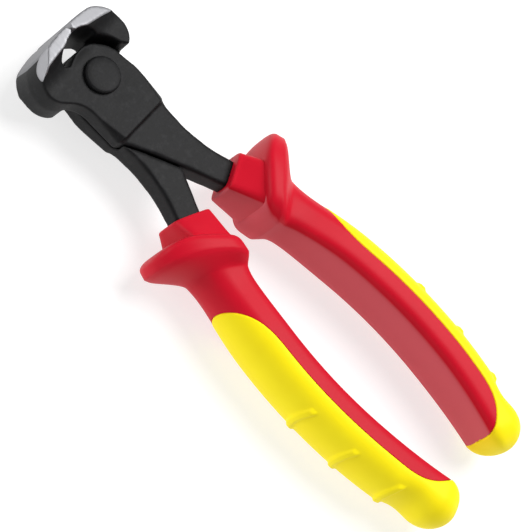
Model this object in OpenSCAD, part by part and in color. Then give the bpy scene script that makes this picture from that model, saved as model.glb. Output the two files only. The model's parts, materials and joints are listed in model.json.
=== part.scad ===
// End cutting nippers with two-colour insulated handles, closed and lying on their side.
// Shapes are drawn about the pivot: the pivot axis is Z, the lap face between the levers is z = 0,
// and +Y runs from the pivot to the jaws. place() then lays the tool down over the origin.

/* [Jaws] */
// Length of the cutting edges, along the pivot axis
edge_l = 22; // [19:0.5:26]
// Distance from the pivot to the cutting edges
edge_y = 14; // [13.6:0.1:15]
// Distance from the pivot to the end of the jaws
jaw_y = 15.6; // [15.2:0.1:17]
// Width across the closed jaws
head_w = 31.4; // [30:0.2:33]
// Thickness of a jaw at its outer side, along the pivot axis
jaw_side_t = 16; // [14.5:0.5:19]
// Lean of the outer side of a jaw, inwards from the lap face to its ends
side_lean = 5; // [2:0.1:8]
// Radius of the crowned end of the jaws
crown_r = 50; // [40:1:80]
// Radius of the upper outer corner of a jaw
corner_r = 9.2; // [7.5:0.1:9.4]
// Distance from the pivot to the widest point of a jaw
wide_y = 6.2; // [5.8:0.1:6.8]
// Radius of the lower end of a jaw
lobe_r = 6.2; // [5.4:0.1:6.4]
// Thickness of a jaw on the side of the other lever, from the lap face
lobe_z = 6.6; // [6:0.1:8]
// Radius of the flare from the joint plate to the wide jaw
flare_r = 8.4; // [7.5:0.1:10]
// Height of the ground lip at the middle of the jaws
lip_h = 3.1; // [2.4:0.1:3.6]
// Width of the outer bevel of a cutting edge
outer_bevel = 1; // [0.6:0.1:1.6]
// Width and depth of the inner bevel of a cutting edge
inner_bevel = 1.1; // [0.8:0.1:1.4]
// Radius of the throat between the closed jaws
throat_r = 7.4; // [7:0.1:7.6]
// Distance from the pivot to the top of the throat
throat_top = 13.2; // [12.9:0.1:13.3]
// Width of the throat
throat_w = 12.8; // [10:0.2:13.6]
// Gap between the closed cutting edges
edge_gap = 0.1; // [0.06:0.02:0.2]

/* [Joint] */
// Width of the joint plates
plate_w = 18.7; // [18:0.1:19.4]
// Thickness of the two joint plates together
joint_t = 11; // [9.5:0.5:12.5]
// Distance from the pivot to the lower step of the plates
plate_y = 15.5; // [14.5:0.1:17]
// Chamfer at the lower corners of the plates
plate_chamfer = 0.6; // [0.4:0.1:1]
// Depth of the chamfers along the sides of the plates, at their lower end
plate_edge = 1.2; // [0.6:0.1:1.4]
// Radius of the round upper end of the plates
boss_r = 8.7; // [8.4:0.1:8.9]
// Running gap between a round plate end and the jaw beside it
shoulder_gap = 2; // [1.2:0.1:2.4]
// Radius of the blend from a jaw into the side of its own plate
blend_r = 8; // [7:0.5:9]
// Radius of the corner between the throat and the round end of a plate
throat_corner_r = 1.6; // [1:0.1:2]
// Angle of one lever to the other at which the jaws are fully open
open_angle = 40; // [30:1:42]
// Gap left at the stop when the jaws are fully open
stop_gap = 0.3; // [0.2:0.1:0.6]
// Gap between the lap faces of the levers
lap_gap = 0.1; // [0.06:0.02:0.2]
// Diameter of the rivet
rivet_d = 7.6; // [6.5:0.1:8.5]
// Diameter of the rivet heads
rivet_head_d = 10; // [9.4:0.2:12]
// Height of the rivet heads above the plates
rivet_head_h = 1.3; // [0.9:0.1:1.8]
// Height of the straight edge of the rivet heads
rivet_edge_h = 0.6; // [0.3:0.1:0.8]
// Running clearance round the rivet in the rear lever
rivet_fit = 0.04; // [0.02:0.01:0.08]
// Gap under the rear rivet head
rivet_play = 0.06; // [0.04:0.02:0.12]

/* [Tangs] */
// Width of a tang where it enters its sleeve
tang_w = 7.5; // [6.6:0.1:8]
// Thickness of a tang at the step of the plate
tang_t = 8; // [7:0.2:9]
// Thickness of a tang where it enters its sleeve
tang_mouth_t = 6.4; // [5.6:0.2:7.2]
// Width of a tang at its end inside the handle
tang_end_w = 4.4; // [3.6:0.2:5.2]
// Thickness of a tang at its end inside the handle
tang_end_t = 4.6; // [4:0.2:5.4]
// Length of a tang inside its handle
tang_in_l = 80; // [50:1:84]
// Distance from the middle plane to the outer side of a tang at the plate
tang_top_x = 9.2; // [8.6:0.1:9.3]
// Offset of a tang from the middle line of its handle at the mouth
tang_shift = 0.6; // [0:0.1:0.8]
// Gap between the crossing tangs
cross_gap = 0.4; // [0.3:0.05:0.8]
// Clearance between a tang and its sleeve
sleeve_fit = 0.05; // [0.02:0.01:0.1]

/* [Handles] */
// Distance from the pivot down to the widest point of the handles
bow_y = 98; // [90:1:110]
// Distance from the middle plane to the middle line of a handle at its widest point
bow_x = 19.7; // [18:0.1:24]
// Radius of the middle line of a handle
bow_r = 147; // [130:1:180]
// Length of a handle from its widest point up to the mouth of the sleeve
mouth_s = 58.4; // [54:0.2:62]
// Length of a handle from its widest point up to the crest of the guard
guard_s = 47.5; // [46:0.1:49]
// Length of a handle from its widest point down to its end
end_s = 45.5; // [42:0.5:52]
// Width of a handle
grip_w = 12.2; // [11.4:0.2:15]
// Thickness of a handle, along the pivot axis
grip_t = 19.4; // [17:0.2:21]
// Thickness of the collar at the mouth of a sleeve
collar_t = 12; // [11:0.2:14]
// Flare of the front and back of the collar, rise per length
collar_flare = 0.5; // [0.3:0.02:0.6]
// Length over which the sides of the collar run into the grip
collar_l = 11; // [8:0.5:16]
// Distance from the middle line to the outer side of the collar
collar_out = 6.8; // [6.2:0.1:7.2]
// Distance from the middle line to the inner side of the collar
collar_in = 4.7; // [4.6:0.1:5.6]
// Thickness across the guard, along the pivot axis
guard_t = 24.4; // [22:0.2:26]
// Reach of the guard beyond the outer side of a handle
guard_out = 10.6; // [8:0.2:13]
// Reach of the guard beyond the inner side of a handle
guard_in = 1.9; // [1:0.1:2.4]
// Width of the crest of the guard
guard_crest = 1.7; // [0.9:0.2:2.5]
// Length of the rounded upper side of the guard
guard_up = 2.8; // [2.2:0.1:3.6]
// Length of the hollow lower side of the guard
guard_down = 24; // [20:0.5:28]
// Slant of the guard across the handle, rise per length outward
guard_slant = 0.4; // [0.2:0.01:0.45]
// Bend of the guard line across the handle, fall per length squared
guard_bend = 0.0145; // [0.005:0.0005:0.02]
// Thickness of the neck of a handle below the guard, along the pivot axis
neck_t = 14.6; // [13:0.2:17]
// Length over which the neck thickens to the grip
neck_l = 28; // [20:1:36]
// Depth of the waist in the outer side above the end of a handle
waist = 1.4; // [0.4:0.1:2]
// Distance from the widest point of a handle down to its waist
waist_s = 32; // [30:0.5:33]
// Half length of the waist
waist_l = 6; // [4:0.5:6.5]
// Radius of the rounded end of a handle
end_r = 7; // [5:0.5:9]

/* [Grips] */
// Thickness of the grip over the sleeve
grip_wall = 2.2; // [1.6:0.1:2.6]
// Distance from the crest of the guard to the tip of the grip
tip_drop = 13.7; // [13:0.1:16]
// Length over which the tip of the grip narrows
tip_l = 19; // [12:0.2:24]
// Height above the end of a handle at which the grip starts to wrap round it
wrap_rise = 21; // [17:0.5:24]
// Length over which the grip wraps round the end
wrap_l = 15; // [12:0.5:16]
// Number of ribs on a grip
rib_n = 3; // [1:1:4]
// Distance from the widest point down to the first rib
rib_start = -2.3; // [-6:0.1:6]
// Distance from rib to rib
rib_step = 14.4; // [10:0.2:16]
// Height of the ribs
rib_h = 0.5; // [0.2:0.1:0.8]
// Half width of a rib
rib_w = 2.4; // [1.6:0.2:3]

/* [Hidden] */
$fn = 96;
steel = "#3a3a3c";
red = "#d8323f";
yellow = "#f5e436";

// Jaw and joint
jaw_x = head_w / 2;
corner_x = jaw_x - corner_r;
plate_x = plate_w / 2;
plate_z = joint_t / 2;
shoulder_r = boss_r + shoulder_gap;
lobe_x = lobe_r - jaw_x + tan(side_lean) * plate_z / 2;
blend_x = -plate_x - blend_r;
blend_y = wide_y - sqrt((lobe_r + blend_r) ^ 2 - (lobe_x - blend_x) ^ 2);
throat_corner_x = throat_corner_r - throat_w / 2;
throat_corner_y = sqrt((boss_r + throat_corner_r) ^ 2 - throat_corner_x ^ 2);
flare_y = jaw_y - lip_h - sqrt(flare_r ^ 2 - (plate_z + flare_r - edge_l / 2) ^ 2);
lobe_flare_y = jaw_y - lip_h - sqrt(flare_r ^ 2 - (lobe_z + flare_r - edge_l / 2) ^ 2);
tall = edge_l;

// How far rounds that would only touch are let cross
crossing = 0.1;

// Where the tool lies
lie_z = max(edge_l, guard_t) / 2;
lie_y = (on_handle(-end_s, 0).y + jaw_y) / 2;

// Number of points on the outer and inner run of a handle section
side_n = 13;

// Point of a handle at length s along its middle line and d outward from it
function on_handle(s, d) =
    let (a = s / bow_r * 180 / PI)
    [bow_x - bow_r + (bow_r + d) * cos(a), -bow_y + (bow_r + d) * sin(a)];

// Direction up a handle at length s
function handle_way(s) = let (a = s / bow_r * 180 / PI) [-sin(a), cos(a)];

// Value from a to b as t runs from 0 to 1
function mix(a, b, t) = a + (b - a) * t;

// Smooth step from 0 to 1
function ease(t) = let (c = min(1, max(0, t))) c * c * (3 - 2 * c);

// Cubic curve through four control points, in n steps
function curve(p, q, r, s, n) =
    [for (i = [0:n]) let (t = i / n, k = 1 - t) p * k ^ 3 + q * 3 * k * k * t + r * 3 * k * t * t + s * t ^ 3];

// Powers of the rounded section: outer and inner side of the collar, of the guard and of the grip
collar_out_power = 5;
collar_in_power = 6;
guard_out_power = 2.4;
guard_in_power = 3.2;
grip_out_power = 2.1;
grip_in_power = 4.5;

// Power of the hollow below the guard, and the length over which the crest rounds into it
guard_hollow = 9;
guard_round = 1.2;

// Share of its thickness that a handle loses towards its end, and the share of its lower half above that taper
end_loss = 0.2;
taper_from = 0.3;

// Power of the fall of a rib towards its ends
rib_fade = 1.5;

// Height of the guard at length s, as a share of its full reach
function guard_rise(s) =
    let (off = s - guard_s, clear = max(0, abs(off) - guard_crest / 2))
    let (soft = sqrt(clear ^ 2 + guard_round ^ 2) - guard_round)
    let (up = min(1, clear / guard_up), down = min(1, soft / guard_down))
    off > 0 ? sqrt(1 - up * up) : (1 - down) ^ guard_hollow;

// Share of the guard's slant at length s: none at the mouth and along the grip, full at the guard
function slant(s) =
    s > guard_s ? ease((mouth_s - s) / (mouth_s - guard_top - guard_up)) : 1 - ease((guard_s - s) / tip_drop);

// Share of its full section that a handle has near its rounded end
function end_share(s) = let (t = max(0, end_r - end_s - s) / end_r) sqrt(max(0, 1 - t * t));

// Waist, outer half width, inner half width and half thickness of a handle at length s
function hollow(s) = max(0, 1 - ((s + waist_s) / waist_l) ^ 2) ^ 2;
function out_w(s) =
    let (side = mix(collar_out, grip_w / 2, min(1, (mouth_s - s) / collar_l)))
    end_share(s) * (side - waist * hollow(s)) + guard_out * guard_rise(s);
function in_w(s) =
    end_share(s) * mix(collar_in, grip_w / 2, min(1, (mouth_s - s) / collar_l)) + guard_in * guard_rise(s);
function half_t(s) =
    let (collar = collar_t / 2 + collar_flare * (mouth_s - s))
    let (neck = mix(neck_t, grip_t, ease((guard_s - s) / neck_l)) / 2)
    let (base = s > guard_s ? collar : neck, taper = 1 - end_loss * ease(-s / end_s - taper_from))
    end_share(s) * base * taper + (guard_t / 2 - base) * guard_rise(s);

// Power of the rounded section on the outer and the inner side
function out_power(s) = mix(s > guard_s ? collar_out_power : grip_out_power, guard_out_power, guard_rise(s));
function in_power(s) = mix(s > guard_s ? collar_in_power : grip_in_power, guard_in_power, guard_rise(s));

// Rise of the ribs at length s
function rib_rise(s) =
    max([for (i = [0:rib_n - 1]) let (d = (s + rib_start + i * rib_step) / rib_w) max(0, 1 - d * d)]);

// Point [outward, thickness] of the handle section at angle u, pulled in by inset
function section(s, u, inset, rib) =
    let (outer = cos(u) >= 0)
    let (p = 2 / (outer ? out_power(s) : in_power(s)), w = (outer ? out_w(s) : in_w(s)) - inset)
    let (proud = rib * rib_h * rib_rise(s) * max(0, cos(u)) ^ rib_fade)
    [sign(cos(u)) * (w * abs(cos(u)) ^ p + proud), sign(sin(u)) * (half_t(s) - inset) * abs(sin(u)) ^ p];

// Line between sleeve and grip at length s, outward from the middle line
function seam(s) =
    let (tip = (s - guard_s + tip_drop + tip_l) / tip_l, wrap = (wrap_rise - end_s - s) / wrap_l)
    tip > 0 ? out_w(s) * min(1, tip ^ 3) : wrap > 0 ? -in_w(s) * min(1, wrap ^ 3) : 0;

// Angle of the seam where the grip closes round the end
closed_angle = 176;

// Angle at which the section, pulled in by inset, crosses the seam
function seam_angle(s, inset) =
    let (d = seam(s), w = (d > 0 ? out_w(s) : in_w(s)) - inset)
    let (share = w <= 0 ? 1 : min(1, abs(d) / w) ^ ((d > 0 ? out_power(s) : in_power(s)) / 2))
    min(closed_angle, d > 0 ? acos(share) : acos(-share));

// True where the sleeve has a core under the grip: half way into the wrap, or one wall past the end of a longer tang
core_end = min(wrap_rise - end_s - wrap_l / 2, mouth_s - tang_in_l - grip_wall);
function has_core(s) = s > core_end && seam_angle(s, grip_wall) > 1;

// Angle that splits a section into its outer and inner run: the seam, or a smooth lead up to its tip
lead_hurry = 1.6;
function split_angle(s) =
    let (lead = max(0, s - grip_top) / (mouth_s - grip_top))
    s > grip_top ? mix(seam_angle(grip_top, 0), 90, ease(lead_hurry * lead)) : seam_angle(s, 0);

// Runs of points across the handle at length s: outer skin, inner skin, and sleeve core under the grip
function outer_run(s, rib) =
    let (a = split_angle(s))
    [for (i = [0:side_n]) section(s, mix(-a, a, i / side_n), 0, rib)];
function inner_run(s) =
    let (a = split_angle(s))
    [for (i = [0:side_n]) section(s, mix(a, 360 - a, i / side_n), 0, 0)];
function core_run(s) =
    let (a = seam_angle(s, grip_wall), edge = section(s, split_angle(s), 0, 0))
    [for (i = [1:side_n - 1]) let (t = (i - 1) / (side_n - 2))
        has_core(s) ? section(s, mix(-a, a, t), grip_wall, 0) : [edge.x, mix(-edge.y, edge.y, i / side_n)]];

// Height of the first grip section below its tip, and of the last sleeve section above the closed grip
tip_cut = 0.2;
end_cut = 0.45;

// Lengths at which the handle sections stand
collar_steps = 4;
round_steps = 7;
foot_steps = 12;
foot_spread = 1.5;
guard_top = guard_s + guard_crest / 2;
sleeve_top = concat([for (i = [0:collar_steps - 1]) mix(mouth_s, guard_top + guard_up, i / collar_steps)],
    [for (i = [0:round_steps - 1]) guard_top + guard_up * cos(i * 90 / (round_steps - 1))]);
guard_foot = [for (i = [0:foot_steps])
    mix(guard_s - guard_crest / 2, guard_s - tip_drop, (i / foot_steps) ^ foot_spread)];
grip_steps = 34;
grip_top = guard_s - tip_drop - tip_cut;
grip_bottom = end_r - end_s;
grip_body = [for (i = [0:grip_steps]) mix(grip_top, grip_bottom, i / grip_steps)];
end_dome = [for (i = [1:round_steps]) -end_s + end_r * (1 - sin(i * 81 / round_steps))];
sleeve_end = wrap_rise - end_s - wrap_l + end_cut;

// Solid through sections of two runs each, a long run and a short one back between its ends.
// Its sides are split into triangles along one diagonal or, for turned = true, along the other.
module loft(rings, turned) {
    n = len(rings[0]);
    last = len(rings) - 1;
    function ladder(k) = [
        [k, k + 1, k + n - 1],
        for (i = [1:side_n - 2], half = [0, 1])
            half == 0 ? [k + i, k + i + 1, k + n - i - 1] : [k + i, k + n - i - 1, k + n - i],
        [k + side_n - 1, k + side_n, k + side_n + 1]];
    sides = [for (k = [0:last - 1], i = [0:n - 1], half = [0, 1])
        let (j = (i + 1) % n, a = k * n, b = a + n)
        half == 0 ? [a + i, turned ? b + i : b + j, a + j] : [turned ? a + j : a + i, b + i, b + j]];
    polyhedron([for (r = rings) each r],
        concat(sides, ladder(0), [for (f = ladder(last * n)) [f[0], f[2], f[1]]]));
}

// Section points of a handle at length s, set in space
function ring(s, points) =
    [for (p = points)
        let (rise = slant(s) * (guard_slant * p.x - guard_bend * p.x ^ 2), q = on_handle(s + rise, p.x))
        [q.x, q.y, p.y]];

// Tool laid on its side with its middle over the origin
module place() {
    translate([0, -lie_y, lie_z]) children();
}

// The other half of the tool: turned half round about the line from pivot to jaws
module turn_over() {
    rotate([0, 180, 0]) children();
}

// Outline of a jaw on the +X side, with its edge, throat and crown and without its outer side
module jaw_outline() {
    difference() {
        intersection() {
            translate([0, jaw_y - crown_r]) circle(crown_r, $fn = 360);
            square([head_w, jaw_y]);
        }
        intersection() {
            translate([0, throat_top - throat_r]) circle(throat_r);
            translate([-throat_w / 2, 0]) square([throat_w, jaw_y]);
        }
        translate([edge_gap / 2, edge_y])
            polygon([[0, 0], [outer_bevel, jaw_y - edge_y], [outer_bevel, jaw_y], [-jaw_x, jaw_y], [-jaw_x, 0]]);
        translate([edge_gap / 2, edge_y])
            polygon([[0, 0], [inner_bevel, -inner_bevel], [inner_bevel, -throat_r], [-jaw_x, -throat_r], [-jaw_x, 0]]);
    }
}

// Round outer side of a jaw, leaning inwards from the lap face
module jaw_side(r, way) {
    translate([jaw_x - r, wide_y, 0]) rotate([0, -way * side_lean, 0])
        cylinder(h = tall * 3, r = r, center = true);
}

// Jaw on the -X side, above the lap face for way = 1 and below it for way = -1
module jaw(way) {
    mirror([1, 0, 0]) intersection() {
        translate([0, 0, way < 0 ? -tall : 0]) linear_extrude(tall) jaw_outline();
        union() {
            translate([0, wide_y, -tall]) cube([corner_x, jaw_y, 2 * tall]);
            intersection() {
                translate([0, wide_y, -tall]) cube([head_w, jaw_y, 2 * tall]);
                jaw_side(corner_r, way);
            }
            translate([crossing, 0, 0]) jaw_side(lobe_r, way);
        }
    }
}

// Joint plate with its round upper end
module plate_outline(fit = 0) {
    side = plate_x + fit;
    low = -plate_y - fit;
    circle(boss_r + fit);
    polygon([
        [boss_r + fit, 0], [side, -boss_r / 2], [side, plate_chamfer + low], [side - plate_chamfer, low],
        [plate_chamfer - side, low], [-side, plate_chamfer + low], [-side, -boss_r / 2], [-boss_r - fit, 0]]);
}

// Chamfers along the sides of the plate above the lap face, deeper towards its lower end
module plate_edges() {
    length = plate_y + blend_y;
    fall = atan(plate_edge / length);
    for (side = [-1, 1])
        translate([side * plate_x, blend_y, plate_z]) rotate([0, side * 45, 0]) rotate([fall, 0, 0])
            translate([-plate_x, -length - tang_lap, 0]) cube([plate_w, length + tang_lap, plate_x]);
}

// Blend from the jaw on the -X side into the side of its own plate
module blend_outline() {
    touch_x = mix(lobe_x, blend_x, lobe_r / (lobe_r + blend_r));
    difference() {
        translate([touch_x, blend_y]) square([-touch_x, wide_y - blend_y]);
        translate([blend_x, blend_y]) circle(blend_r);
    }
}

// Rounded corner between the throat and the round end of the plate
module throat_corner() {
    side = -throat_w / 2 - throat_corner_r;
    touch = boss_r / (boss_r + throat_corner_r);
    difference() {
        polygon([
            [side, throat_corner_y], [side, 0], [0, 0], [throat_corner_x, throat_corner_y] * touch,
            [throat_corner_x, throat_corner_y]]);
        translate([throat_corner_x, throat_corner_y]) circle(throat_corner_r + crossing / 2);
    }
}

// Middle and half width of a tang at length s down its handle
function tang_mid(s) = tang_shift * ease((s - mouth_s + tang_in_l) / tang_in_l);
function tang_half(s) = mix(tang_w, tang_end_w, min(1, tang_hurry * (mouth_s - s) / tang_in_l)) / 2;
tang_hurry = 1.6;
tang_steps = 10;

// Overlap of a tang with its plate, the end of its flat above the sleeve, its straight lead there,
// and the ways its sides curve between
tang_lap = 2;
neck_gap = 0.3;
tang_lead = 1.2;
tang_curve = 7;
inner_way = [3.8, -4.8];
outer_way = [-1.8, -9];
tang_s = [for (i = [0:tang_steps]) mix(mouth_s + tang_lead, mouth_s - tang_in_l, i / tang_steps)];

// Outline of a tang, from under the plate down into the handle, grown by fit
module tang_outline(fit) {
    lead_s = tang_s[0];
    up = handle_way(lead_s) * tang_curve;
    outer_end = on_handle(lead_s, tang_mid(lead_s) + tang_half(lead_s) + fit);
    inner_end = on_handle(lead_s, tang_mid(lead_s) - tang_half(lead_s) - fit);
    outer_start = [tang_top_x + fit, tang_lap - plate_y];
    inner_start = [plate_chamfer - plate_x - fit, -plate_y];
    polygon(concat(
        [[inner_start.x, tang_lap - plate_y]],
        curve(inner_start, inner_start + inner_way, inner_end + up, inner_end, 10),
        [for (i = [1:tang_steps]) let (s = tang_s[i]) on_handle(s - fit, tang_mid(s) - tang_half(s) - fit)],
        [for (i = [tang_steps:-1:1]) let (s = tang_s[i]) on_handle(s - fit, tang_mid(s) + tang_half(s) + fit)],
        curve(outer_end, outer_end + up, outer_start + outer_way, outer_start, 10)));
}

// Side profile of the levers: jaw, plate and tang thickness along Y, grown by fit
module side_profile(fit) {
    neck = on_handle(mouth_s, tang_mid(mouth_s) + tang_half(mouth_s)).y + neck_gap;
    tang_end = on_handle(mouth_s - tang_in_l, 0).y;
    difference() {
        translate([min(flare_y, lobe_flare_y), -edge_l / 2]) square([jaw_y, edge_l]);
        translate([flare_y, plate_z + flare_r]) circle(flare_r);
        translate([flare_y - jaw_y, plate_z]) square([jaw_y, tall]);
        translate([lobe_flare_y, -lobe_z - flare_r]) circle(flare_r);
        translate([lobe_flare_y - jaw_y, -lobe_z - tall]) square([jaw_y, tall]);
    }
    translate([-plate_y, -lobe_z]) square([plate_y + jaw_y / 2, lobe_z + plate_z]);
    polygon([
        [0, tang_t / 2 + fit], [-plate_y, tang_t / 2 + fit], [neck, tang_mouth_t / 2 + fit],
        [tang_end - jaw_y, tang_end_t / 2 + fit], [tang_end - jaw_y, -tang_end_t / 2 - fit],
        [neck, -tang_mouth_t / 2 - fit], [-plate_y, -tang_t / 2 - fit], [0, -tang_t / 2 - fit]]);
}

// End profile of the levers: the jaw narrows towards its outer side, at -X
module end_profile() {
    edge_z = edge_l / 2;
    side_z = jaw_side_t / 2;
    polygon([
        [bow_x * 2, edge_z], [0, edge_z], [-jaw_x, side_z], [-jaw_x * 2, side_z],
        [-jaw_x * 2, -side_z], [-jaw_x, -side_z], [0, -edge_z], [bow_x * 2, -edge_z]]);
}

// Lever with its jaw on the -X side, its plate above the lap face and its tang on the +X side
module lever(bore_d) {
    color(steel) difference() {
        intersection() {
            union() {
                translate([0, 0, lap_gap / 2]) linear_extrude(tall) {
                    plate_outline();
                    blend_outline();
                    throat_corner();
                    tang_outline(0);
                }
                difference() {
                    union() {
                        jaw(1);
                        jaw(-1);
                    }
                    translate([0, 0, lap_gap / 2 - tall]) linear_extrude(tall) {
                        circle(shoulder_r);
                        rotate(-open_angle) plate_outline(stop_gap);
                    }
                }
                translate([0, 0, -tall]) linear_extrude(tall + lap_gap) difference() {
                    tang_outline(0);
                    translate([cross_gap, 0]) mirror([1, 0]) {
                        plate_outline();
                        tang_outline(0);
                    }
                    translate([-head_w, -plate_y * 2]) square([head_w, plate_y * 2]);
                }
            }
            translate([-bow_x * 2, 0, 0]) rotate([90, 0, 90]) linear_extrude(bow_x * 4) side_profile(0);
            translate([0, jaw_y * 2, 0]) rotate([90, 0, 0]) linear_extrude(bow_y * 2) end_profile();
        }
        plate_edges();
        cylinder(h = tall * 2, d = bore_d, center = true);
    }
}

module front_lever() {
    place() lever(rivet_d);
}

module rear_lever() {
    place() turn_over() lever(rivet_d + 2 * rivet_fit);
}

// Low domed rivet head standing on z = 0
module rivet_head() {
    rise = rivet_head_h - rivet_edge_h;
    dome_r = (rivet_head_d ^ 2 / 4 + rise ^ 2) / 2 / rise;
    intersection() {
        cylinder(h = rivet_head_h, d = rivet_head_d);
        translate([0, 0, rivet_head_h - dome_r]) sphere(dome_r, $fn = 200);
    }
}

module pivot_rivet() {
    color(steel) place() {
        translate([0, 0, -plate_z - rivet_play]) cylinder(h = joint_t + rivet_play, d = rivet_d);
        translate([0, 0, plate_z]) rivet_head();
        translate([0, 0, -plate_z - rivet_play]) mirror([0, 0, 1]) rivet_head();
    }
}

// Space that a tang fills in its sleeve
module tang_space() {
    intersection() {
        translate([0, 0, -tall]) linear_extrude(tall * 2) tang_outline(sleeve_fit);
        translate([-bow_x * 2, 0, 0]) rotate([90, 0, 90]) linear_extrude(bow_x * 4) side_profile(sleeve_fit);
    }
}

// Sleeve skin under the grip, or bare above its tip, without the points that it shares with the inner run
function sleeve_back(s) =
    s > grip_top ? [for (i = [1:side_n - 1]) outer_run(s, 0)[i]] : core_run(s);

// Hard sleeve with collar and guard, recessed for the grip
module sleeve() {
    steps = [for (s = concat(sleeve_top, guard_foot, grip_body)) if (s > sleeve_end) s];
    color(red) difference() {
        loft([for (s = steps) ring(s, concat(inner_run(s), sleeve_back(s)))], false);
        tang_space();
    }
}

// Soft grip over the outer half and the end of a sleeve
module grip() {
    steps = concat(grip_body, end_dome);
    under = [for (i = [side_n - 2:-1:0]) i];
    color(yellow)
        loft([for (s = steps) ring(s, concat(outer_run(s, 1), [for (i = under) core_run(s)[i]]))], true);
}

module right_sleeve() {
    place() sleeve();
}

module left_sleeve() {
    place() turn_over() sleeve();
}

module right_grip() {
    place() grip();
}

module left_grip() {
    place() turn_over() grip();
}

front_lever();
rear_lever();
pivot_rivet();
right_sleeve();
left_sleeve();
right_grip();
left_grip();
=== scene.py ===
"""Looks of end cutting nippers: blackened steel head with ground edges, two-colour insulated handles."""

import json
import math

import bpy
import numpy as np
from mathutils import Matrix
from mathutils.kdtree import KDTree

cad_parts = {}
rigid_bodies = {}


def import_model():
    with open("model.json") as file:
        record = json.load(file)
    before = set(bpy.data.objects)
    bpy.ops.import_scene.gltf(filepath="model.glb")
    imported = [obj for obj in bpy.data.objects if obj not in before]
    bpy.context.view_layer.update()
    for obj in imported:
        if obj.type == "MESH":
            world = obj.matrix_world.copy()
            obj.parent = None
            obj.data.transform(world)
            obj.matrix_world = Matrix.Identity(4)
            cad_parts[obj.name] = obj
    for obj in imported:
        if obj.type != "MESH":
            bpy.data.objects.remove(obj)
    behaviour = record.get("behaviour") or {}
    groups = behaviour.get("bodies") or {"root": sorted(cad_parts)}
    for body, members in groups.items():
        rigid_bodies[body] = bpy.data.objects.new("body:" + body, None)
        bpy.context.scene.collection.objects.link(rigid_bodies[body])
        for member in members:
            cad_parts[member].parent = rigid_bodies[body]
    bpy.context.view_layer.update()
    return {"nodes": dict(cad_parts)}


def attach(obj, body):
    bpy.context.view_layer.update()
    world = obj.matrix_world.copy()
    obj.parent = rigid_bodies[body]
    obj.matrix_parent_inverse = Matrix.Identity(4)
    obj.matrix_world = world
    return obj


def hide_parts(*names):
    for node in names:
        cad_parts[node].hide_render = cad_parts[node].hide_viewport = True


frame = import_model()

# Sizes of the head in millimetres, about the pivot as in the part's source: +Y to the jaws, lap face at z = 0
MM = 0.001
PIVOT_Y = 63.588
LAP_Z = 12.2
PIVOT = np.array([0, PIVOT_Y, LAP_Z])
JAW_Y = 15.6
CROWN_R = 50.0
EDGE_Y = 14.0
EDGE_Z = 11.0
LIP_TAPER = 3.0 / 15.7
PLATE_Z = 5.5

# Ground facet on a lip's outer corner: direction that it faces, and its distance from the pivot
FACET = (0.664, 0.590, 0.458)
FACET_REACH = 18.36

# How deep the bright steel goes below the ground faces, and how far it reaches over crown, ridge and edge
GROUND_SKIN = 0.3
GROUND_X = 12.6
FACET_SKIN = 0.1
RIDGE_BY_SIDE = 0.9
RIDGE_BY_FACET = 0.6
BEVEL_X = 1.3
BEVEL_Y = 1.2

# Zones of a lever, as the place where each starts and the length over which it sets in, and the lip's slope
TANG_ZONE = (15.8, 1.5)
LIP_SLOPE = 0.19
LIP_ZONE = (10.2, 0.5)
LIP_ABOVE = (9.5, 1.0)
LIP_ACROSS = (-12.5, 2.0)
EDGE_ABOVE = (11.6, 0.8)
EDGE_ACROSS = (-3.0, 1.0)
CROWN_ZONE = (-0.9, 0.4)
CROWN_ACROSS = (-12.0, 2.0)

# Skin of a lever: size of its faces, strength of a smoothing pass, passes on tang, forged and ground edges
SKIN_STEP = 0.28
SMOOTHING = 0.5
TANG_PASSES = 60
FORGED_PASSES = 14
GROUND_PASSES = 8

# Rivet: shank, play under its lower head, and radius and height of each ring of a head from its crown down
RIVET_R = 3.8
RIVET_PLAY = 0.06
RIVET_HEAD = (
    (1.5, 1.44), (3.0, 1.4), (4.35, 1.3), (4.8, 1.16), (4.95, 1.0), (5.0, 0.8), (5.0, 0.12), (4.9, 0.0))
RIVET_SIDES = 96

# Bow of a handle: its widest place, its radius, and lengths along it from there to mouth, guard and end
BOW_Y = 98.0
BOW_X = 19.7
BOW_R = 147.0
MOUTH_S = 58.4
GUARD_S = 47.5
END_S = 45.5

# Grip: width, thickness, squareness of both sides, wall over the core and step up from the sleeve
GRIP_W = 12.2
GRIP_T = 19.4
GRIP_OUT_POWER = 2.1
GRIP_IN_POWER = 4.5
GRIP_WALL = 2.2
GRIP_PROUD = 0.15

# Collar: thickness, flare, length, half widths and squareness of both sides, and rounding of its mouth
COLLAR_T = 12.0
COLLAR_FLARE = 0.5
COLLAR_L = 11.0
COLLAR_OUT = 6.8
COLLAR_IN = 4.7
COLLAR_OUT_POWER = 5
COLLAR_IN_POWER = 6
MOUTH_R = 0.7

# Guard: thickness, reach and squareness of both sides, crest, flanks, foot, slant and bend
GUARD_T = 24.4
GUARD_OUT = 10.6
GUARD_IN = 1.9
GUARD_OUT_POWER = 2.4
GUARD_IN_POWER = 3.2
GUARD_CREST = 1.7
GUARD_UP = 2.8
GUARD_DOWN = 18.0
GUARD_HOLLOW = 4
GUARD_ROUND = 0.6
GUARD_FLANK = 4.2
GUARD_FOOT = 0.48
GUARD_SLANT = 0.4
GUARD_BEND = 0.0145

# Neck below the guard, waist, and rounded end with the taper before it
NECK_T = 14.6
NECK_L = 28.0
WAIST = 1.4
WAIST_S = 32.0
WAIST_L = 6.0
END_R = 7.0
END_LOSS = 0.2
TAPER_FROM = 0.3

# Seam between sleeve and grip: its tip under the guard, its wrap round the end, and its rounding
TIP_DROP = 13.7
TIP_L = 19.0
WRAP_RISE = 21.0
WRAP_L = 15.0
SEAM_R = 0.5

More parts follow.
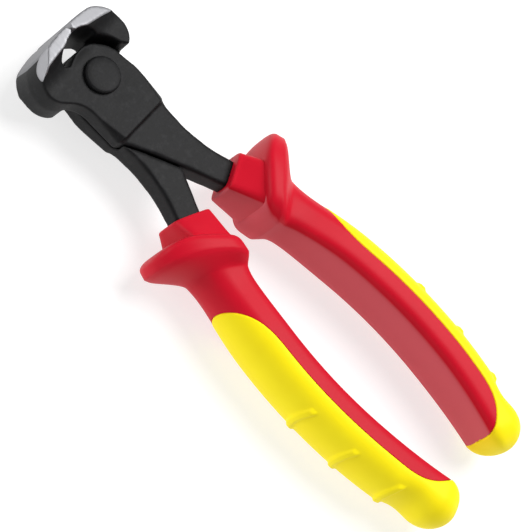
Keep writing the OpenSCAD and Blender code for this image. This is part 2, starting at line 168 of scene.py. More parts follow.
# Ribs: places, height, half of the flat top, slopes, reach to each side, fade there, and sag
RIB_S = (2.3, -12.1, -26.5)
RIB_H = 0.65
RIB_TOP = 0.45
RIB_ABOVE = 1.4
RIB_BELOW = 1.3
RIB_REACH = 7.8
RIB_FADE = 1.3
RIB_SAG = 0.03

# Bore for the tang: half sizes at mouth and end, length, offset, speed of its narrowing, squareness, fit
TANG_HALF_W = 3.75
TANG_END_HALF_W = 2.2
TANG_HALF_T = 3.2
TANG_END_HALF_T = 2.3
TANG_IN_L = 80.0
TANG_SHIFT = 0.6
TANG_HURRY = 1.6
TANG_POWER = 4
SLEEVE_FIT = 0.05

# Inner face of a handle: how far inside the middle line it starts and is whole, how squarely it faces in
INNER_FROM = 3.6
INNER_WHOLE = 4.4
INNER_TURN = -0.93
INNER_SQUARE = -0.985

# Mould grain of the handles: its strength, and what the inner face adds to strength and roughness
GRAIN_STRENGTH = 0.15
INNER_STRENGTH = 0.3
INNER_ROUGHNESS = 0.2

# Grids on the handles: counts of the fine lines they are measured on, steps, counts, spread, turns of the mouth
RUN_COUNT = 1500
LINE_COUNT = 6000
SLEEVE_STEP = 0.7
GRIP_STEP = 0.4
SEAM_STEP = 0.06
RIB_STEP = 0.22
SKIN_COUNT = 100
BACK_COUNT = 50
GRIP_COUNT = 90
BORE_COUNT = 14
EVEN_SHARE = 0.35
SEAM_WEIGHT = 0.6
MOUTH_TURNS = (22.5, 45, 67.5, 90)


# Handle shape

def ease(t):
    """Smooth step from 0 to 1."""
    c = np.clip(t, 0, 1)
    return c * c * (3 - 2 * c)


def mix(a, b, t):
    """Value from a to b as t runs from 0 to 1."""
    return a + (b - a) * t


def on_handle(s, d):
    """Point in the pivot frame at length s along a handle's middle line and d outward from it."""
    a = s / BOW_R
    return BOW_X - BOW_R + (BOW_R + d) * np.cos(a), -BOW_Y + (BOW_R + d) * np.sin(a)


def guard_rise(s, foot_share=GUARD_FOOT):
    """Height of the guard at length s: a bar on a hollow foot, as a share of its full reach."""
    clear = max(0.0, abs(s - GUARD_S) - GUARD_CREST / 2)
    if s > GUARD_S:
        return math.sqrt(1 - min(1.0, clear / GUARD_UP) ** 2)
    bar = 1 - ease((clear - GUARD_ROUND) / GUARD_FLANK)
    foot = (1 - min(1.0, clear / GUARD_DOWN)) ** GUARD_HOLLOW
    return mix(bar, foot, foot_share)


def guard_lean(s):
    """Share of the guard's slant at length s."""
    if s > GUARD_S:
        return ease((MOUTH_S - s) / (MOUTH_S - GUARD_S - GUARD_CREST / 2 - GUARD_UP))
    return 1 - ease((GUARD_S - s) / TIP_DROP)


def end_share(s):
    """Share of its full section that a handle has near its rounded end."""
    t = max(0.0, END_R - END_S - s) / END_R
    return math.sqrt(max(0.0, 1 - t * t))


def outer_half(s):
    """Half width from the middle line to the outer side, with the waist and the guard's bar."""
    side = mix(COLLAR_OUT, GRIP_W / 2, min(1.0, (MOUTH_S - s) / COLLAR_L))
    waist = WAIST * max(0.0, 1 - ((s + WAIST_S) / WAIST_L) ** 2) ** 2
    return end_share(s) * (side - waist) + GUARD_OUT * guard_rise(s)


def inner_half(s):
    """Half width from the middle line to the inner side, where the guard is only a soft swell."""
    side = mix(COLLAR_IN, GRIP_W / 2, min(1.0, (MOUTH_S - s) / COLLAR_L))
    return end_share(s) * side + GUARD_IN * guard_rise(s, 1.0)


def half_thick(s):
    """Half thickness along the pivot axis."""
    collar = COLLAR_T / 2 + COLLAR_FLARE * (MOUTH_S - s)
    neck = mix(NECK_T, GRIP_T, ease((GUARD_S - s) / NECK_L)) / 2
    base = collar if s > GUARD_S else neck
    taper = 1 - END_LOSS * ease(-s / END_S - TAPER_FROM)
    return end_share(s) * base * taper + (GUARD_T / 2 - base) * guard_rise(s)


def outer_power(s):
    """Squareness of the section's outer side."""
    return mix(COLLAR_OUT_POWER if s > GUARD_S else GRIP_OUT_POWER, GUARD_OUT_POWER, guard_rise(s))


def inner_power(s):
    """Squareness of the section's inner side."""
    return mix(COLLAR_IN_POWER if s > GUARD_S else GRIP_IN_POWER, GUARD_IN_POWER, guard_rise(s))


def section(s, u, inset):
    """Outward and thickness coordinates of the handle's skin at length s and angles u, pulled in by inset."""
    c, v = np.cos(u), np.sin(u)
    outer = c >= 0
    p = np.where(outer, 2 / outer_power(s), 2 / inner_power(s))
    w = np.where(outer, outer_half(s), inner_half(s)) - inset
    t = half_thick(s) - inset
    return np.sign(c) * np.maximum(w, 0) * np.abs(c) ** p, np.sign(v) * max(t, 0) * np.abs(v) ** p


def seam_angle(s, inset=0.0):
    """Angle at which the line between sleeve and grip crosses the section at length s."""
    tip = (s - GUARD_S + TIP_DROP + TIP_L) / TIP_L
    wrap = (WRAP_RISE - END_S - s) / WRAP_L
    if tip > 0:
        d = outer_half(s) * min(1.0, tip ** 3)
        return math.acos(min(1.0, d / max(1e-6, outer_half(s) - inset)) ** (outer_power(s) / 2))
    if wrap > 0:
        d = inner_half(s) * min(1.0, wrap ** 3)
        return math.acos(-min(1.0, d / max(1e-6, inner_half(s) - inset)) ** (inner_power(s) / 2))
    return math.pi / 2


def lengths(*steps):
    """Length reached at each point of a line, from its steps in each direction."""
    return np.concatenate([[0], np.cumsum(np.hypot(*steps))])


def run(s, start, stop, inset, shares):
    """Points of the section from angle start to stop, at shares of the length between them."""
    x, z = section(s, np.linspace(start, stop, RUN_COUNT), inset)
    length = lengths(np.diff(x), np.diff(z))
    if length[-1] < 1e-6:
        return np.full(len(shares), x[0]), np.full(len(shares), z[0])
    return np.interp(shares * length[-1], length, x), np.interp(shares * length[-1], length, z)


def in_space(s, x, z):
    """Section points set in the pivot frame, with the guard's slant."""
    rise = guard_lean(s) * (GUARD_SLANT * x - GUARD_BEND * x * x)
    px, py = on_handle(s + rise, x)
    return np.stack([px, py, z], -1)


def spaced(top, bottom, step):
    """Lengths from top to bottom, closer where the skin or the seam turns quickly."""
    s = np.linspace(top, bottom, LINE_COUNT)
    side = np.array([outer_half(v) for v in s])
    thick = np.array([half_thick(v) for v in s])
    line = np.array([[float(c) for c in section(v, np.array(seam_angle(v)), 0)] for v in s])
    turning = np.hypot(*np.diff(line, axis=0).T)
    travel = np.abs(np.diff(s)) + np.abs(np.diff(side)) + np.abs(np.diff(thick)) + SEAM_WEIGHT * turning
    length = np.concatenate([[0], np.cumsum(travel)])
    return np.interp(np.linspace(0, length[-1], int(length[-1] / step) + 1), length, s)


def edged(count):
    """Shares from 0 to 1, closer together at both ends."""
    t = np.linspace(0, 1, count)
    return EVEN_SHARE * t + (1 - EVEN_SHARE) * ease(t)


# Modelling helpers

def select_only(obj):
    """Makes the piece the only selected one, and active."""
    bpy.ops.object.select_all(action="DESELECT")
    obj.select_set(True)
    bpy.context.view_layer.objects.active = obj


def points_of(obj):
    """The piece's points in metres, one row each."""
    flat = np.zeros(len(obj.data.vertices) * 3)
    obj.data.vertices.foreach_get("co", flat)
    return flat.reshape(-1, 3)


def set_points(obj, points):
    """Moves the piece's points to places given in millimetres about the pivot."""
    obj.data.vertices.foreach_set("co", ((points + PIVOT) * MM).ravel())
    obj.data.update()


def wrapped_grid(name, rows):
    """A grid wrapped over rows of points in the pivot frame, closed where its edges meet."""
    across, along = rows.shape[1] - 1, rows.shape[0] - 1
    bpy.ops.object.select_all(action="DESELECT")
    bpy.ops.mesh.primitive_grid_add(x_subdivisions=across, y_subdivisions=along, size=1)
    obj = bpy.context.object
    obj.name = name
    place = points_of(obj)
    column = np.rint((place[:, 0] + 0.5) * across).astype(int)
    row = np.rint((place[:, 1] + 0.5) * along).astype(int)
    set_points(obj, rows[row, column])
    close_up()
    return obj


def close_up():
    """Merges the active piece's seams and turns its faces outwards."""
    bpy.ops.object.mode_set(mode="EDIT")
    bpy.ops.mesh.select_all(action="SELECT")
    bpy.ops.mesh.remove_doubles(threshold=1e-7)
    bpy.ops.mesh.dissolve_degenerate(threshold=1e-7)
    bpy.ops.mesh.normals_make_consistent(inside=False)
    bpy.ops.object.mode_set(mode="OBJECT")


def finish_piece(obj, body, node, material, angle):
    """Shades the piece smooth up to that angle and puts it in its node's place."""
    select_only(obj)
    bpy.ops.object.shade_smooth_by_angle(angle=math.radians(angle))
    obj.data.materials.clear()
    obj.data.materials.append(material)
    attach(obj, body)
    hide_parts(node)


def turned_over(points):
    """Points of the other half of the tool."""
    return points * np.array([-1, 1, -1])


# Materials

def linear(hex_code):
    """sRGB hex to linear colour."""
    parts = [int(hex_code[i:i + 2], 16) / 255 for i in (1, 3, 5)]
    return [v / 12.92 if v <= 0.04045 else ((v + 0.055) / 1.055) ** 2.4 for v in parts] + [1.0]


def add(tree, kind, inputs=None, **settings):
    """Adds a node with its settings, input values and links."""
    node = tree.nodes.new(kind)
    for key, value in settings.items():
        setattr(node, key, value)
    for key, value in (inputs or {}).items():
        if isinstance(value, bpy.types.NodeSocket):
            tree.links.new(value, node.inputs[key])
        else:
            node.inputs[key].default_value = value
    return node


def new_material(name):
    """A material with an empty node tree, and that tree."""
    material = bpy.data.materials.new(name)
    material.use_nodes = True
    material.node_tree.nodes.clear()
    return material, material.node_tree


# Forged carbon steel, blackened and oiled: dark satin skin with a sandy grain and faint rubbed patches.
# The real grain is finer than 0.5 mm and is drawn at that size so that it shows.
def blackened_steel(name, ground):
    material, tree = new_material(name)
    coord = add(tree, "ShaderNodeTexCoord").outputs["Object"]
    grain = add(tree, "ShaderNodeTexNoise", {"Vector": coord, "Scale": 1 / (0.5 * MM), "Detail": 3})
    cloud = add(tree, "ShaderNodeTexNoise", {"Vector": coord, "Scale": 1 / (6 * MM), "Detail": 2})
    tone = add(tree, "ShaderNodeMix", {
        "Factor": cloud.outputs["Fac"], "A": linear("#111112"), "B": linear("#19191a")}, data_type="RGBA")
    patch = add(tree, "ShaderNodeTexNoise", {
        "Vector": coord, "Scale": 1 / (2.2 * MM), "Detail": 4, "Roughness": 0.7})
    scuff = add(tree, "ShaderNodeMapRange", {
        "Value": patch.outputs["Fac"], "From Min": 0.52, "From Max": 0.72, "To Max": 0.22}).outputs["Result"]
    rubbed = add(tree, "ShaderNodeMix", {
        "Factor": scuff, "A": tone.outputs["Result"],
        "B": linear("#3c3c3e")}, data_type="RGBA").outputs["Result"]
    bump = add(tree, "ShaderNodeBump", {
        "Height": grain.outputs["Fac"], "Strength": 0.4, "Distance": 0.06 * MM})
    rough = add(tree, "ShaderNodeMapRange", {"Value": grain.outputs["Fac"], "To Min": 0.42, "To Max": 0.56})
    out = add(tree, "ShaderNodeBsdfPrincipled", {
        "Base Color": rubbed, "Roughness": rough.outputs["Result"],
        "Normal": bump.outputs["Normal"], "Metallic": 0.0, "IOR": 1.21})
    if ground:
        mask, crown_painted_shade = ground_faces(tree, coord)
        bright = ground_steel(tree, coord, crown_painted_shade)
        out = add(tree, "ShaderNodeMixShader", {0: mask, 1: out.outputs["BSDF"], 2: bright.outputs["BSDF"]})
    add(tree, "ShaderNodeOutputMaterial", {"Surface": out.outputs[0]})
    return material


# Bare steel, ground after the blackening: bright, with fine lines along the stroke of the wheel, and a painted
# shade that makes the crown darker than the lips.
# The real lines are finer than 0.25 mm and are drawn at that size so that they show.
def ground_steel(tree, coord, crown_painted_shade):
    lines = add(tree, "ShaderNodeMapping", {
        "Vector": coord, "Scale": (1 / (0.25 * MM), 1 / (2.5 * MM), 1 / (0.25 * MM))})
    scratch = add(tree, "ShaderNodeTexNoise", {"Vector": lines.outputs["Vector"], "Scale": 1.0, "Detail": 2})
    sheen = add(tree, "ShaderNodeMapRange", {"Value": scratch.outputs["Fac"], "To Min": 0.46, "To Max": 0.62})
    score = add(tree, "ShaderNodeBump", {
        "Height": scratch.outputs["Fac"], "Strength": 0.2, "Distance": 0.02 * MM})
    # Painted shade: the crown gets a darker copy of the ground steel than the lips, for the light that falls on
    # it
    shine = add(tree, "ShaderNodeMix", {
        "Factor": crown_painted_shade, "A": linear("#929295"), "B": linear("#7c7c7f")}, data_type="RGBA").outputs["Result"]
    return add(tree, "ShaderNodeBsdfPrincipled", {
        "Base Color": shine, "Metallic": 1.0, "Roughness": sheen.outputs["Result"],
        "Normal": score.outputs["Normal"]})


def ground_faces(tree, coord):
    """1 on the ground faces of the jaws and 0 elsewhere, and 1 on the part of them that is only the crown,
    which takes a painted shade.
    """
    move = add(tree, "ShaderNodeMapping", {"Vector": coord, "Location": (0, -PIVOT_Y * MM, -LAP_Z * MM)})
    axes = add(tree, "ShaderNodeSeparateXYZ", {"Vector": move.outputs["Vector"]})
    x = add(tree, "ShaderNodeMath", {0: axes.outputs["X"]}, operation="ABSOLUTE").outputs["Value"]
    y = axes.outputs["Y"]
    z = add(tree, "ShaderNodeMath", {0: axes.outputs["Z"]}, operation="ABSOLUTE").outputs["Value"]

    # Flat sides of the lips
    side = add(tree, "ShaderNodeMath", {0: x, 1: LIP_TAPER, 2: z}, operation="MULTIPLY_ADD").outputs["Value"]
    on_side = add(tree, "ShaderNodeMath", {
        0: side, 1: (EDGE_Z - GROUND_SKIN) * MM}, operation="GREATER_THAN").outputs["Value"]

    # Crown over both jaws, short of their outer ends
    below = add(tree, "ShaderNodeVectorMath", {
        0: move.outputs["Vector"], 1: (0, (CROWN_R - JAW_Y) * MM, 0)}, operation="ADD")
    flat = add(tree, "ShaderNodeVectorMath", {0: below.outputs["Vector"], 1: (1, 1, 0)}, operation="MULTIPLY")
    reach = add(tree, "ShaderNodeVectorMath", {
        0: flat.outputs["Vector"]}, operation="LENGTH").outputs["Value"]
    on_end = add(tree, "ShaderNodeMath", {
        0: reach, 1: (CROWN_R - GROUND_SKIN) * MM}, operation="GREATER_THAN").outputs["Value"]
    near = add(tree, "ShaderNodeMath", {0: x, 1: GROUND_X * MM}, operation="LESS_THAN").outputs["Value"]
    crown = add(tree, "ShaderNodeMath", {0: on_end, 1: near}, operation="MULTIPLY").outputs["Value"]

    # Facet on one corner of each jaw, and the ridge between it and the lip
    folded = add(tree, "ShaderNodeCombineXYZ", {"X": x, "Y": y, "Z": z}).outputs["Vector"]
    depth = add(tree, "ShaderNodeVectorMath", {0: folded, 1: FACET}, operation="DOT_PRODUCT").outputs["Value"]
    on_facet = add(tree, "ShaderNodeMath", {
        0: depth, 1: (FACET_REACH - FACET_SKIN) * MM}, operation="GREATER_THAN").outputs["Value"]
    twist = add(tree, "ShaderNodeMath", {
        0: axes.outputs["X"], 1: axes.outputs["Z"]}, operation="MULTIPLY").outputs["Value"]
    one = add(tree, "ShaderNodeMath", {0: twist, 1: 0.0}, operation="LESS_THAN").outputs["Value"]
    facet = add(tree, "ShaderNodeMath", {0: on_facet, 1: one}, operation="MULTIPLY").outputs["Value"]
    by_side = add(tree, "ShaderNodeMath", {
        0: side, 1: (EDGE_Z - RIDGE_BY_SIDE) * MM}, operation="GREATER_THAN").outputs["Value"]
    by_facet = add(tree, "ShaderNodeMath", {
        0: depth, 1: (FACET_REACH - RIDGE_BY_FACET) * MM}, operation="GREATER_THAN").outputs["Value"]
    ridge = add(tree, "ShaderNodeMath", {0: by_side, 1: by_facet}, operation="MULTIPLY").outputs["Value"]
    shared = add(tree, "ShaderNodeMath", {0: ridge, 1: one}, operation="MULTIPLY").outputs["Value"]
    flat_lip = add(tree, "ShaderNodeMath", {0: on_side, 1: facet}, operation="MAXIMUM").outputs["Value"]
    lip = add(tree, "ShaderNodeMath", {0: flat_lip, 1: shared}, operation="MAXIMUM").outputs["Value"]

    # Bevels of the cutting edges
    close = add(tree, "ShaderNodeMath", {0: x, 1: BEVEL_X * MM}, operation="LESS_THAN").outputs["Value"]
    high = add(tree, "ShaderNodeMath", {
        0: y, 1: (EDGE_Y - BEVEL_Y) * MM}, operation="GREATER_THAN").outputs["Value"]
    bevel = add(tree, "ShaderNodeMath", {0: close, 1: high}, operation="MULTIPLY").outputs["Value"]

    kept = add(tree, "ShaderNodeMath", {0: lip, 1: crown}, operation="MAXIMUM").outputs["Value"]
    mask = add(tree, "ShaderNodeMath", {0: kept, 1: bevel}, operation="MAXIMUM").outputs["Value"]
    # Mask of the painted shade: the crown, apart from the lips
    crown_painted_shade = add(tree, "ShaderNodeMath", {
        0: crown, 1: lip}, operation="SUBTRACT", use_clamp=True).outputs["Value"]
    return mask, crown_painted_shade


# Injection moulded plastic: satin, with a fine spark-eroded grain from the mould.
# The face towards the other handle can have a deeper, duller grain, and its lighter pink colour is a painted
# sheen of the white surroundings.
# The real grain is finer than 0.4 mm and is drawn at that size so that it shows.
def moulded_plastic(name, light, deep, inner_sheen_colour, roughness):
    material, tree = new_material(name)
    coords = add(tree, "ShaderNodeTexCoord")
    coord = coords.outputs["Object"]
    grain = add(tree, "ShaderNodeTexNoise", {"Vector": coord, "Scale": 1 / (0.4 * MM), "Detail": 2})
    cloud = add(tree, "ShaderNodeTexNoise", {"Vector": coord, "Scale": 1 / (8 * MM), "Detail": 2})
    tone = add(tree, "ShaderNodeMix", {
        "Factor": cloud.outputs["Fac"], "A": linear(deep),
        "B": linear(light)}, data_type="RGBA").outputs["Result"]
    rough = add(tree, "ShaderNodeMapRange", {
        "Value": grain.outputs["Fac"], "To Min": roughness - 0.06,
        "To Max": roughness + 0.08}).outputs["Result"]
    strength = GRAIN_STRENGTH
    if inner_sheen_colour:
        inner = inner_face(tree, coords)
        # Painted reflection: the inner face takes a lighter pink colour for the sheen of the white
        # surroundings, on top of its real rougher grain
        tone = add(tree, "ShaderNodeMix", {
            "Factor": inner, "A": tone, "B": linear(inner_sheen_colour)}, data_type="RGBA").outputs["Result"]
        rough = add(tree, "ShaderNodeMath", {
            0: inner, 1: INNER_ROUGHNESS, 2: rough}, operation="MULTIPLY_ADD").outputs["Value"]
        strength = add(tree, "ShaderNodeMath", {
            0: inner, 1: INNER_STRENGTH, 2: GRAIN_STRENGTH}, operation="MULTIPLY_ADD").outputs["Value"]
    bump = add(tree, "ShaderNodeBump", {
        "Height": grain.outputs["Fac"], "Strength": strength, "Distance": 0.04 * MM})
    shader = add(tree, "ShaderNodeBsdfPrincipled", {
        "Base Color": tone, "Roughness": rough, "Normal": bump.outputs["Normal"], "IOR": 1.2})
    add(tree, "ShaderNodeOutputMaterial", {"Surface": shader.outputs[0]})
    return material


def inner_face(tree, coords):
    """1 on the face of a handle that looks at the other handle, and 0 elsewhere."""
    place = add(tree, "ShaderNodeSeparateXYZ", {"Vector": coords.outputs["Object"]})
    facing = add(tree, "ShaderNodeSeparateXYZ", {"Vector": coords.outputs["Normal"]})
    half = add(tree, "ShaderNodeMath", {0: place.outputs["X"]}, operation="SIGN").outputs["Value"]
    side = add(tree, "ShaderNodeMath", {0: place.outputs["X"]}, operation="ABSOLUTE").outputs["Value"]

    # Ray from the centre of the bow
    across = add(tree, "ShaderNodeMath", {0: side, 1: (BOW_R - BOW_X) * MM}, operation="ADD").outputs["Value"]
    along = add(tree, "ShaderNodeMath", {
        0: place.outputs["Y"], 1: (BOW_Y - PIVOT_Y) * MM}, operation="ADD").outputs["Value"]
    ray = add(tree, "ShaderNodeCombineXYZ", {"X": across, "Y": along}).outputs["Vector"]
    outward_way = add(tree, "ShaderNodeVectorMath", {0: ray}, operation="NORMALIZE").outputs["Vector"]

    # How squarely the face looks inward, seen along the handle
    turned = add(tree, "ShaderNodeMath", {
        0: facing.outputs["X"], 1: half}, operation="MULTIPLY").outputs["Value"]
    normal = add(tree, "ShaderNodeCombineXYZ", {
        "X": turned, "Y": facing.outputs["Y"], "Z": facing.outputs["Z"]}).outputs["Vector"]
    lean = add(tree, "ShaderNodeVectorMath", {
        0: normal, 1: outward_way}, operation="DOT_PRODUCT").outputs["Value"]
    flat = add(tree, "ShaderNodeCombineXYZ", {"X": lean, "Y": facing.outputs["Z"]}).outputs["Vector"]
    level = add(tree, "ShaderNodeVectorMath", {0: flat}, operation="NORMALIZE").outputs["Vector"]
    inward = add(tree, "ShaderNodeSeparateXYZ", {"Vector": level}).outputs["X"]
    square = add(tree, "ShaderNodeMapRange", {
        "Value": inward, "From Min": INNER_TURN, "From Max": INNER_SQUARE}).outputs["Result"]

    # Only on the inner side of the middle line
    reach = add(tree, "ShaderNodeVectorMath", {0: ray}, operation="LENGTH").outputs["Value"]
    inside = add(tree, "ShaderNodeMapRange", {
        "Value": reach, "From Min": (BOW_R - INNER_FROM) * MM,
        "From Max": (BOW_R - INNER_WHOLE) * MM}).outputs["Result"]
    return add(tree, "ShaderNodeMath", {0: square, 1: inside}, operation="MULTIPLY").outputs["Value"]


lever_steel = blackened_steel("blackened forged steel", True)
rivet_steel = blackened_steel("blackened rivet steel", False)

# Hard red shell with a duller inner face that carries a painted pink sheen, and a softer, more matt yellow
# moulded over it
red_plastic = moulded_plastic("moulded red polypropylene", "#c9142a", "#c01126", "#cf5f68", 0.44)
yellow_rubber = moulded_plastic("moulded yellow elastomer", "#ffed18", "#fbe413", None, 0.5)


# Levers

def zone(value, start, blend):
    """0 before a zone's start, rising to 1 over its blend."""
    return ease((value - start) / blend)


def eased(obj, name, weights, passes):
    """Smooths the piece where the weights say, over a number of passes."""
    group = obj.vertex_groups.new(name=name)
    for level in np.unique(weights[weights > 0]):
        group.add(np.flatnonzero(weights == level).tolist(), float(level), "REPLACE")
    smooth = obj.modifiers.new(name, "SMOOTH")
    smooth.factor = SMOOTHING
    smooth.iterations = passes
    smooth.vertex_group = group.name
    bpy.ops.object.modifier_apply(modifier=smooth.name)


def grind(obj, turn):
    """Presses the outer corner of the jaw's lip down to a flat facet."""
    flip = np.array([-turn, 1, turn])
    place = (points_of(obj) / MM - PIVOT) * flip
    over = np.maximum(place @ np.array(FACET) - FACET_REACH, 0) * (place[:, 1] > 0)
    set_points(obj, (place - over[:, None] * np.array(FACET)) * flip)


def lever(name, body, turn):
    """A copy of the lever's solid with its forged edges rounded and its ground edges kept sharper."""
    select_only(frame["nodes"][name])
    bpy.ops.object.duplicate()
    obj = bpy.context.object
    obj.name = name + "_forging"
    bpy.ops.object.parent_clear(type="CLEAR_KEEP_TRANSFORM")
    bpy.ops.object.mode_set(mode="EDIT")
    bpy.ops.mesh.select_all(action="SELECT")
    bpy.ops.mesh.remove_doubles(threshold=1e-6)
    bpy.ops.object.mode_set(mode="OBJECT")

    # One skin of small even faces
    skin = obj.modifiers.new("forged skin", "REMESH")
    skin.mode = "VOXEL"
    skin.voxel_size = SKIN_STEP * MM
    bpy.ops.object.modifier_apply(modifier=skin.name)

    # Share of each point in the tang, the ground edges and the forged rest
    x, y, z = ((points_of(obj) / MM - PIVOT) * np.array([turn, 1, turn])).T
    tang = np.round(zone(-y, *TANG_ZONE), 1)
    lip = zone(np.abs(z) + LIP_SLOPE * np.abs(x), *LIP_ZONE) * zone(y, *LIP_ABOVE) * zone(x, *LIP_ACROSS)
    edge = zone(y, *EDGE_ABOVE) * zone(x, *EDGE_ACROSS)
    crown = zone(np.hypot(x, y + CROWN_R - JAW_Y) - CROWN_R, *CROWN_ZONE) * zone(x, *CROWN_ACROSS)
    forged = np.round((1 - tang) * (1 - np.maximum(np.maximum(lip, edge), crown)), 1)

    eased(obj, "tang edges", tang, TANG_PASSES)
    eased(obj, "forged edges", forged, FORGED_PASSES)
    grind(obj, turn)
    eased(obj, "ground edges", np.round(1 - tang, 1), GROUND_PASSES)
    finish_piece(obj, body, name, lever_steel, angle=60)


lever("front_lever", "front_half", 1)
lever("rear_lever", "rear_half", -1)


# Rivet

def rivet():
    """Shank with a low domed head at both ends, drawn up ring by ring from a disc."""
    low = -PLATE_Z - RIVET_PLAY
    rings = [(r, low - z) for r, z in RIVET_HEAD]
    rings += [(RIVET_R, low), (RIVET_R, PLATE_Z)]
    rings += [(r, PLATE_Z + z) for r, z in reversed(RIVET_HEAD)]
    radius, height = rings[0]
    bpy.ops.object.select_all(action="DESELECT")
    bpy.ops.mesh.primitive_circle_add(
        vertices=RIVET_SIDES, radius=radius * MM, fill_type="NGON",
        location=(0, PIVOT_Y * MM, (LAP_Z + height) * MM))
    obj = bpy.context.object
    obj.name = "pivot_rivet_forged"
    bpy.ops.object.transform_apply(location=True, rotation=True, scale=True)
    bpy.ops.object.mode_set(mode="EDIT")
    bpy.ops.mesh.select_all(action="SELECT")
    for next_radius, next_height in rings[1:]:
        step = (0, 0, (next_height - height) * MM)
        bpy.ops.mesh.extrude_region_move(TRANSFORM_OT_translate={"value": step})
        bpy.ops.transform.resize(
            value=(next_radius / radius, next_radius / radius, 1),
            center_override=(0, PIVOT_Y * MM, (LAP_Z + next_height) * MM))
        radius, height = next_radius, next_height
    bpy.ops.object.mode_set(mode="OBJECT")
    close_up()
    finish_piece(obj, "front_half", "pivot_rivet", rivet_steel, angle=35)


rivet()


# Handles

tip_s = GUARD_S - TIP_DROP
wrap_s = WRAP_RISE - END_S - WRAP_L
sleeve_s = np.concatenate([
    spaced(MOUTH_S - MOUTH_R, tip_s, SLEEVE_STEP), spaced(tip_s, wrap_s, GRIP_STEP)[1:]])
rib_span = np.arange(-RIB_BELOW - RIB_SAG * RIB_REACH ** 2, RIB_ABOVE + RIB_STEP, RIB_STEP)
plain_s = [
    s for s in spaced(tip_s, -END_S, GRIP_STEP)
    if min(abs(s - r - rib_span).min() for r in RIB_S) > RIB_STEP]
grip_s = np.sort(np.concatenate([plain_s] + [r + rib_span for r in RIB_S]))[::-1]
skin_shares = edged(SKIN_COUNT)
back_shares = edged(BACK_COUNT)
grip_shares = edged(GRIP_COUNT)
seam_line = np.concatenate([
    in_space(s, *[np.array([c]) for c in section(s, np.array(way * seam_angle(s)), 0)])
    for way in (-1, 1) for s in spaced(tip_s, wrap_s, SEAM_STEP)])
seam_tree = KDTree(len(seam_line))
for index, point in enumerate(seam_line):
    seam_tree.insert(point, index)
seam_tree.balance()


def from_seam(points):
    """Distance of each point to the line between sleeve and grip."""
    near = [seam_tree.find(point)[2] for point in points.reshape(-1, 3)]
    return np.array(near).reshape(points.shape[:-1])


def tang_ring(s, angles, fit):
    """Rounded opening for the tang at length s, met by rays at the given angles from the tang's middle."""
    t = min(1.0, max(0.0, (MOUTH_S - s) / TANG_IN_L))
    mid = TANG_SHIFT * ease(1 - t)
    wide = mix(TANG_HALF_W, TANG_END_HALF_W, min(1.0, TANG_HURRY * t)) + fit
    thick = mix(TANG_HALF_T, TANG_END_HALF_T, t) + fit
    c, v = np.cos(angles), np.sin(angles)
    reach = (np.abs(c / wide) ** TANG_POWER + np.abs(v / thick) ** TANG_POWER) ** (-1 / TANG_POWER)
    return mid + reach * c, reach * v


def ring(front, back):
    """A front and a back run of points joined into one closed ring."""
    return [np.concatenate([f, b[1:-1], f[:1]]) for f, b in zip(front, back)]


def sleeve_rows():
    """Sleeve skin from the end up to the mouth, then down the bore for the tang."""
    rows = []
    for s in reversed(sleeve_s):
        a = seam_angle(s) if s <= tip_s else 0.5 * math.pi * ease((s - tip_s) / (MOUTH_S - tip_s))
        front = run(s, a, 2 * math.pi - a, 0, skin_shares)
        if s <= tip_s:
            b = seam_angle(s, GRIP_WALL)
            back = run(s, -b, b, GRIP_WALL, back_shares)
        else:
            back = run(s, -a, a, 0, back_shares)
        rows.append(in_space(s, *ring(front, back)))
    rows.insert(0, np.broadcast_to(rows[0].mean(0), rows[0].shape))

    # Rounded mouth
    mouth = MOUTH_S - MOUTH_R
    a = 0.5 * math.pi
    for turn in np.radians(MOUTH_TURNS):
        inset = MOUTH_R * (1 - math.cos(turn))
        x, z = ring(run(mouth, a, 2 * math.pi - a, inset, skin_shares), run(mouth, -a, a, inset, back_shares))
        rows.append(in_space(mouth + MOUTH_R * math.sin(turn), x, z))

    # Bore
    angles = np.arctan2(z, x - TANG_SHIFT)
    for s in np.concatenate([[MOUTH_S], np.linspace(MOUTH_S - 1, MOUTH_S - TANG_IN_L, BORE_COUNT)]):
        rows.append(in_space(s, *tang_ring(s, angles, SLEEVE_FIT)))
    rows.append(np.broadcast_to(rows[-1].mean(0), rows[-1].shape))
    return np.array(rows)


def rib_rise(s, across):
    """Height of the ribs at length s, at distances across from the outermost line of the grip."""
    fade = 1 - ease((np.abs(across) - RIB_REACH + RIB_FADE) / RIB_FADE)
    off = s - np.array(RIB_S)[:, None] + RIB_SAG * across ** 2
    slope = np.where(off > 0, RIB_ABOVE, RIB_BELOW) - RIB_TOP
    rise = 1 - ease((np.abs(off) - RIB_TOP) / slope)
    return RIB_H * rise.max(0) * fade


def grip_rows():
    """Grip skin from its tip down over the end, its underside on the core, and the lift of its ribs."""
    skin, under, ribs = [], [], []
    for s in grip_s:
        a = seam_angle(s)
        x, z = run(s, -a, a, 0, grip_shares)
        skin.append(in_space(s, x, z))
        along = lengths(np.diff(x), np.diff(z))
        ribs.append(rib_rise(s, along - along[-1] / 2))
        b = seam_angle(s, GRIP_WALL)
        under.append(in_space(s, *run(s, -b, b, GRIP_WALL, grip_shares)))
    return np.array(skin), np.array(under), np.array(ribs)


def outward(rows):
    """Directions square to a skin, away from the handle's middle line."""
    normal = np.cross(np.gradient(rows, axis=1), np.gradient(rows, axis=0))
    normal /= np.maximum(np.linalg.norm(normal, axis=-1, keepdims=True), 1e-9)
    middle = rows.mean(1, keepdims=True)
    away = np.sign((normal * (rows - middle)).sum((0, 1, 2)))
    return normal * away


def edge_drop(rows, radius):
    """How far a rounded edge of that radius lies below the skin, near the line between sleeve and grip."""
    inside = 1 - np.minimum(from_seam(rows), radius) / radius
    return radius * (1 - np.sqrt(1 - inside ** 2))


grip_skin, grip_under, rib_lift = grip_rows()
lift = (GRIP_PROUD + rib_lift) * ease(from_seam(grip_skin) / SEAM_R) - edge_drop(grip_skin, SEAM_R)
grip_skin = grip_skin + outward(grip_skin) * lift[..., None]
grip_grid = np.concatenate([grip_skin, grip_under[::-1]])
sleeve_grid = sleeve_rows()

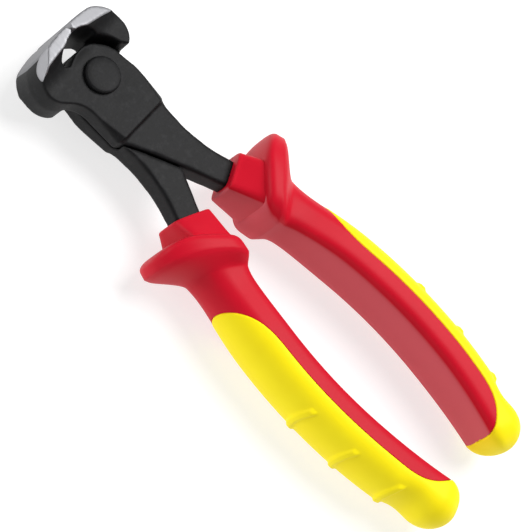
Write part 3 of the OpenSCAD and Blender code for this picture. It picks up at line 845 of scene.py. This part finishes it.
for side, body, flip in (("right", "front_half", False), ("left", "rear_half", True)):
    obj = wrapped_grid(side + "_sleeve_moulding", turned_over(sleeve_grid) if flip else sleeve_grid)
    finish_piece(obj, body, side + "_sleeve", red_plastic, angle=45)
    obj = wrapped_grid(side + "_grip_moulding", turned_over(grip_grid) if flip else grip_grid)
    finish_piece(obj, body, side + "_grip", yellow_rubber, angle=45)


# Floor, light and camera, in metres

FLOOR_SIZE = 6
DARK_SIDE = (-0.508, 0.105, 0.855)
LIT_GLOW = 0.36
DARK_GLOW = 0.06
CAMERA_SWING = math.radians(30.69383)
CAMERA_TILT = math.radians(6.0157)
CAMERA_ROLL = math.radians(46.05141)
CAMERA_AWAY = 1.08574
CAMERA_LIFT = 0.0012
CAMERA_LENS = 285.8
CAMERA_SHIFT = (0.03435, 0.01722)

# Opal acrylic sheet, lit from below: even white that takes only a faint shadow
bpy.ops.object.select_all(action="DESELECT")
bpy.ops.mesh.primitive_plane_add(size=FLOOR_SIZE)
floor = bpy.context.object
floor.name = "floor"
table, tree = new_material("lit white acrylic table")
sheet = add(tree, "ShaderNodeBsdfPrincipled", {
    "Base Color": linear("#a8a8a8"), "Roughness": 0.9,
    "Emission Color": (1, 1, 1, 1), "Emission Strength": 0.72})
add(tree, "ShaderNodeOutputMaterial", {"Surface": sheet.outputs[0]})
floor.data.materials.append(table)

# White studio that darkens towards one side
scene = bpy.context.scene
scene.view_settings.view_transform = "Standard"
world = bpy.data.worlds.new("studio")
world.use_nodes = True
tree = world.node_tree
tree.nodes["Background"].inputs["Color"].default_value = (1, 1, 1, 1)
way = add(tree, "ShaderNodeTexCoord").outputs["Generated"]
near = add(tree, "ShaderNodeVectorMath", {0: way, 1: DARK_SIDE}, operation="DOT_PRODUCT").outputs["Value"]
glow = add(tree, "ShaderNodeMapRange", {
    "Value": near, "From Min": 0.2, "From Max": 0.95,
    "To Min": LIT_GLOW, "To Max": DARK_GLOW}).outputs["Result"]
tree.links.new(glow, tree.nodes["Background"].inputs["Strength"])
scene.world = world


def soft_light(name, place, size, power):
    """Round soft light at a place, aimed at the middle of the tool, with its width and its power in watts."""
    data = bpy.data.lights.new(name, "AREA")
    data.shape = "DISK"
    data.size = size
    data.energy = power
    light = bpy.data.objects.new(name, data)
    scene.collection.objects.link(light)
    light.location = place
    light.rotation_euler = (-light.location).to_track_quat("-Z", "Y").to_euler()


soft_light("key", (0.50, -0.14, 1.0), 0.8, 15)
soft_light("side", (-1.1, -0.23, 0.3), 0.5, 1.8)
soft_light("rim", (-0.50, 1.0, 0.30), 0.5, 5)

back = np.array([-math.sin(CAMERA_SWING) * math.cos(CAMERA_TILT), math.sin(CAMERA_TILT),
                 math.cos(CAMERA_SWING) * math.cos(CAMERA_TILT)])
level = np.array([math.cos(CAMERA_SWING), 0, math.sin(CAMERA_SWING)])
rise = np.cross(back, level)
right = math.sin(CAMERA_ROLL) * level - math.cos(CAMERA_ROLL) * rise
up = math.cos(CAMERA_ROLL) * level + math.sin(CAMERA_ROLL) * rise
eye = back * CAMERA_AWAY + np.array([0, 0, CAMERA_LIFT])
camera = bpy.data.objects.new("camera", bpy.data.cameras.new("camera"))
scene.collection.objects.link(camera)
camera.matrix_world = Matrix(np.vstack([np.stack([right, up, back, eye], 1), [0, 0, 0, 1]]).tolist())
camera.data.sensor_width = 36
camera.data.lens = CAMERA_LENS
camera.data.shift_x, camera.data.shift_y = CAMERA_SHIFT
camera.data.clip_end = 20
scene.camera = camera
